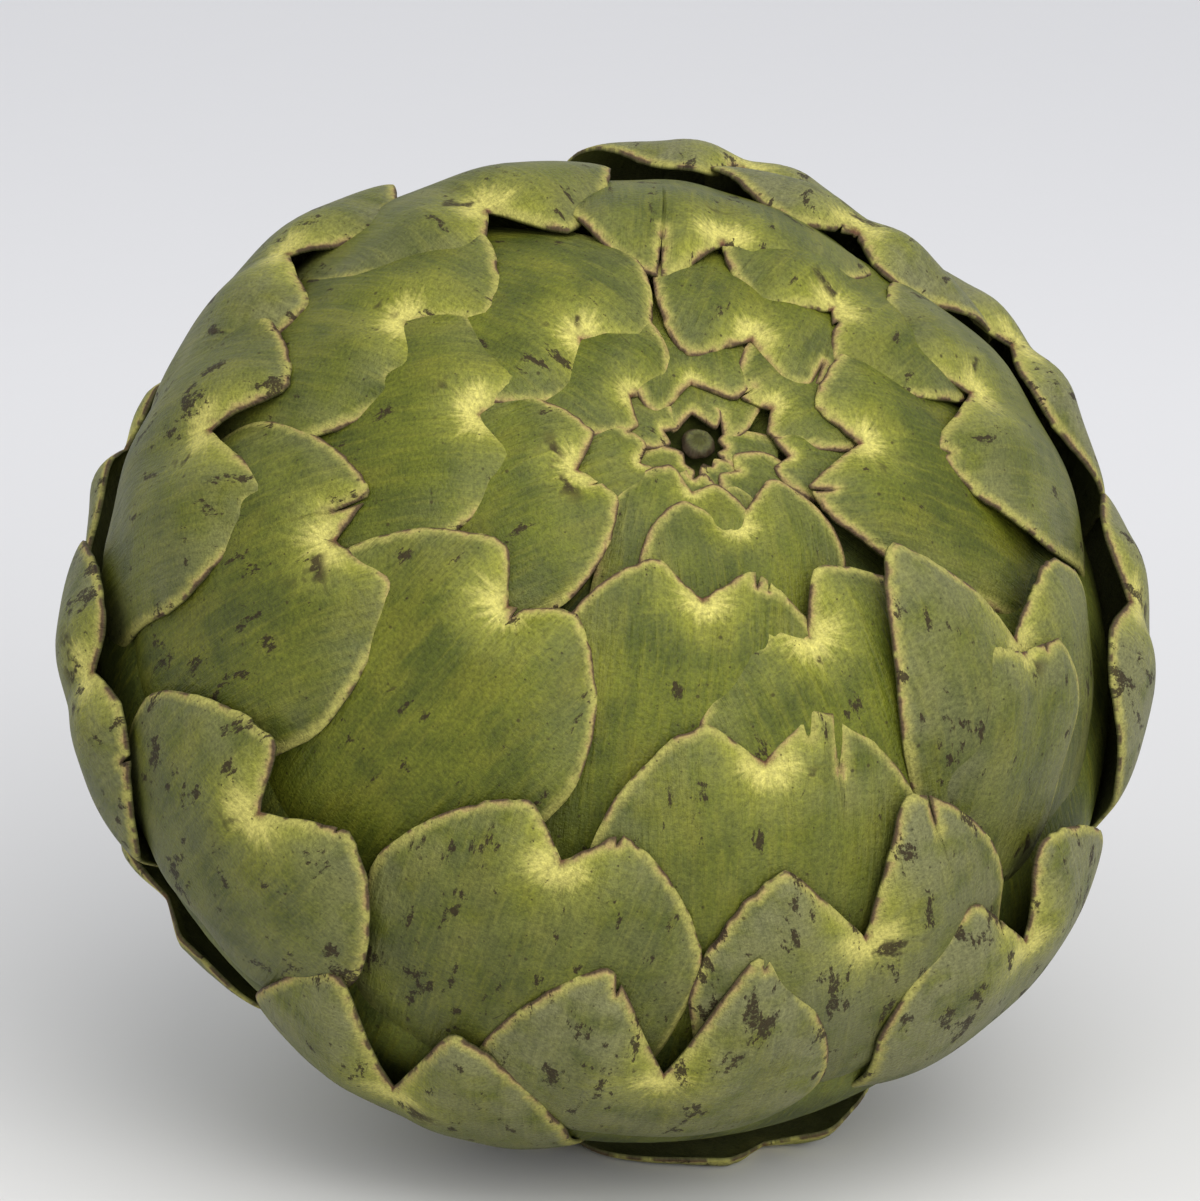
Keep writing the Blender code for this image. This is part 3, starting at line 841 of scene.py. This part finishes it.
def flesh_material():
    """The core under the bracts: streaked like the lower ends of the bracts that grow out of it."""
    n = Shade("core_flesh")
    place = n.vector(n.fact("across"), n.fact("along"), n.fact("edge"))
    streak = n.vector(n.fact("round_x"), n.fact("round_y"), n.times(n.fact("down"), STREAK_STRETCH))
    fine = n.noise(streak, STREAK_SCALE, 3.0, 0.65)
    grain = n.noise(place, GRAIN_SCALE, 2.0, 0.75)
    skin = n.mix(n.band(n.noise(place, CLOUD_SCALE, 2.0), *CLOUD_BAND), FLESH_DARK, FLESH_PALE)
    skin = n.mix(n.times(n.band(fine, *STREAK_BAND), 0.50), skin, YELLOW_GREEN)
    skin = n.mix(n.times(n.band(n.noise(place, 0.34, 5.0, 0.72), 0.66, 0.70), 0.8), skin, SCUFF_BROWN)
    n.put(n.shader.inputs["Base Color"], n.bright(skin, n.math("ADD", 0.25, n.times(grain, SHADE_GRAIN))))
    n.shader.inputs["Roughness"].default_value = 0.6
    n.shader.inputs["Specular IOR Level"].default_value = GLOSS
    n.relief(n.math("ADD", fine, n.times(grain, 0.5)), SKIN_RELIEF)
    return n.material


def add_core(material):
    """The fleshy core under the bracts, seen in the gaps between them."""
    bm = bmesh.new()
    bmesh.ops.create_icosphere(bm, subdivisions=5, radius=1.0)
    unit = np.array([vert.co.normalized() for vert in bm.verts])
    faces = np.array([[vert.index for vert in face.verts] for face in bm.faces])
    bm.free()
    points = above_floor(on_body(unit, np.full(len(unit), -CORE_DEPTH)))
    far = np.maximum(np.hypot(unit[:, 0], unit[:, 1]), 0.1) * MM / BODY_RADIUS
    facts = {
        "across": points[:, 0] / MM,
        "along": points[:, 1] / MM,
        "edge": points[:, 2] / MM,
        "round_x": unit[:, 0] / far,
        "round_y": unit[:, 1] / far,
        "down": np.arccos(unit[:, 2]) * BODY_RADIUS / MM,
    }
    return add_piece("core", mesh_from("core", points, faces, facts), material, "head")


def add_bud(material):
    """The closed bud in the middle of the crown, a low dome with faint folds."""
    count, rings = 72, 18
    turn = np.linspace(0.0, 2.0 * math.pi, count, endpoint=False)[None, :]
    drop = np.linspace(0.03, 0.45 * math.pi, rings)[:, None]
    fold = 1.0 + BUD_FOLD * np.sin(3.0 * turn + 4.0 * drop) * np.sin(drop)
    fold = fold + BUD_RIPPLE * np.sin(8.0 * turn - 5.0 * drop)
    size = BUD_RADIUS * fold
    side, under, axis = head_axes()
    top = on_body(direction(BUD_POLAR, BUD_TURN), np.array(BUD_RISE))
    height = size * (np.cos(drop) - 1.0) - BUD_RING_DIP * np.exp(-((drop / 0.25 - 1.8) ** 2))
    radius = size * np.sin(drop)
    local = np.stack((radius * np.cos(turn), radius * np.sin(turn), height), axis=-1)
    points = local @ np.array((side, under, axis)) + top
    i, j = np.meshgrid(np.arange(rings - 1), np.arange(count), indexing="ij")
    a, b = (i * count + j).ravel(), (i * count + (j + 1) % count).ravel()
    walls = np.stack((a, a + count, b + count, b), axis=1).tolist()
    caps = [list(range(count)), list(range(rings * count - 1, (rings - 1) * count - 1, -1))]
    facts = {"fan": turn + 0.0 * drop, "edge": np.sin(drop) + 0.0 * turn}
    facts = {key: values.ravel() for key, values in facts.items()}
    mesh = mesh_from("bud", points.reshape(-1, 3), walls + caps, facts)
    return add_piece("bud", mesh, material, "head")


def add_stem(material):
    """Ribbed stem stub with a cut end, pressed to the floor where it lies on it."""
    count, rings, cap_rings = 144, 48, 10
    turn = np.linspace(0.0, 2.0 * math.pi, count, endpoint=False)[None, :]
    v = np.concatenate((np.linspace(0.0, 1.0, rings), np.ones(cap_rings)))[:, None]
    shrink = np.concatenate((np.ones(rings), np.linspace(0.985, 0.03, cap_rings)))[:, None]
    bottom = BODY_RADIUS * BOTTOM_RATIO
    radius = STEM_RADIUS + STEM_FLARE * (1.0 - v) ** 2 + RIB_HEIGHT * np.cos(STEM_RIBS * turn)
    radius = radius - GROOVE_DEPTH * (1.0 - np.cos(STEM_GROOVES * turn)) - CUT_BEVEL * (v > 0.985)
    radius = radius * shrink
    first, last = -(bottom - STEM_IN), -(bottom + STEM_OUT)
    rng = np.random.default_rng(STEM_SEED)
    rough = waves(radius * np.cos(turn), radius * np.sin(turn), rng, 8, CUT_GRAIN)
    rough = CUT_ROUGHNESS * rough * (shrink < 1.0)
    height = first + (last - first) * v + rough + PITH_DIP * (shrink < 0.5)
    side, under, axis = head_axes()
    local = np.stack((radius * np.cos(turn), radius * np.sin(turn), height + 0.0 * turn), axis=-1)
    points = above_floor(local @ np.array((side, under, axis)) + np.array(HEAD_CENTRE))
    rows = rings + cap_rings
    i, j = np.meshgrid(np.arange(rows - 1), np.arange(count), indexing="ij")
    a, b = (i * count + j).ravel(), (i * count + (j + 1) % count).ravel()
    walls = np.stack((a, b, b + count, a + count), axis=1).tolist()
    caps = [list(range(count - 1, -1, -1)), list(range((rows - 1) * count, rows * count))]
    facts = {
        "fan": turn + 0.0 * v,
        "along": v * STEM_OUT / MM + 0.0 * turn,
        "across": radius * np.cos(turn) / MM,
        "edge": (STEM_RADIUS - radius) / MM,
        "cut_end": (shrink < 0.999) + 0.0 * turn,
    }
    facts = {key: np.asarray(values, dtype=float).ravel() for key, values in facts.items()}
    mesh = mesh_from("stem_fine", points.reshape(-1, 3), walls + caps, facts)
    return add_piece("stem_fine", mesh, material, "stem")


def add_camera():
    """Camera at the photo's angle."""
    a, e = math.radians(CAMERA_AZIMUTH), math.radians(CAMERA_ELEVATION)
    back = Vector((math.sin(a) * math.cos(e), -math.cos(a) * math.cos(e), math.sin(e)))
    turn = (-back).to_track_quat("-Z", "Y")
    target = Vector(HEAD_CENTRE) + turn @ Vector((FRAME_RIGHT, FRAME_UP, 0.0))
    camera = bpy.data.objects.new("camera", bpy.data.cameras.new("camera"))
    bpy.context.scene.collection.objects.link(camera)
    camera.location = target + back * CAMERA_DISTANCE
    camera.rotation_euler = turn.to_euler()
    camera.data.sensor_width = 36.0
    camera.data.lens = CAMERA_LENS
    bpy.context.scene.camera = camera


def add_light(name, energy, size, place, target, colour):
    """Soft round lamp aimed at a point."""
    data = bpy.data.lights.new(name, "AREA")
    data.energy = energy
    data.color = colour
    data.shape = "DISK"
    data.size = size
    lamp = bpy.data.objects.new(name, data)
    bpy.context.scene.collection.objects.link(lamp)
    lamp.location = place
    lamp.rotation_euler = (Vector(target) - Vector(place)).to_track_quat("-Z", "Y").to_euler()


def floor_material():
    """Pale floor with painted shade near the camera, painted light round the head and a faint mottle."""
    n = Shade("floor")
    node = n.tree.nodes.new("ShaderNodeTexCoord")
    parts = n.tree.nodes.new("ShaderNodeSeparateXYZ")
    n.tree.links.new(node.outputs["Object"], parts.inputs[0])
    # Painted shade: greyer near the camera and toward the left, paler far off
    depth = n.math("ADD", parts.outputs[1], n.times(parts.outputs[0], FLOOR_LEAN))
    tone = n.mix(n.band(depth, *FAR_BAND), FLOOR_NEAR, FLOOR_FAR)
    # Painted light: a paler pool round the head that fills the shadow it casts
    across = n.math("ADD", parts.outputs[0], PAINTED_LIGHT_SHIFT[0])
    out = n.math("ADD", parts.outputs[1], PAINTED_LIGHT_SHIFT[1])
    reach = n.math("SQRT", n.math("ADD", n.times(across, across), n.times(out, out)))
    tone = n.mix(n.band(reach, *PAINTED_LIGHT_BAND), tone, FLOOR_PAINTED_LIGHT)
    tone = n.mix(n.times(n.noise(node.outputs["Object"], 60.0, 4.0), FLOOR_MOTTLE), tone, FLOOR_NEAR)
    n.put(n.shader.inputs["Base Color"], tone)
    n.shader.inputs["Roughness"].default_value = 0.85
    n.shader.inputs["Specular IOR Level"].default_value = 0.2
    return n.material


def add_studio():
    """Pale floor, soft light from above and from the front, and a pale surround."""
    mesh = bpy.data.meshes.new("floor")
    bm = bmesh.new()
    bmesh.ops.create_grid(bm, x_segments=1, y_segments=1, size=FLOOR_SIZE)
    bm.to_mesh(mesh)
    bm.free()
    floor = bpy.data.objects.new("floor", mesh)
    bpy.context.scene.collection.objects.link(floor)
    mesh.materials.append(floor_material())
    world = bpy.data.worlds.new("studio")
    world.use_nodes = True
    world.node_tree.nodes["Background"].inputs["Color"].default_value = (*SURROUND, 1.0)
    world.node_tree.nodes["Background"].inputs["Strength"].default_value = SURROUND_STRENGTH
    bpy.context.scene.world = world
    add_light("key", *KEY)
    add_light("fill", *FILL)


def main():
    """Dress the frame and set the studio."""
    bpy.context.scene.view_settings.view_transform = "Standard"
    add_camera()
    add_studio()
    skin = skin_material()
    add_core(flesh_material())
    for ring_name, ring in all_rings():
        add_bracts(ring_name, ring, skin)
    add_bud(bud_material())
    add_stem(stem_material())


main()
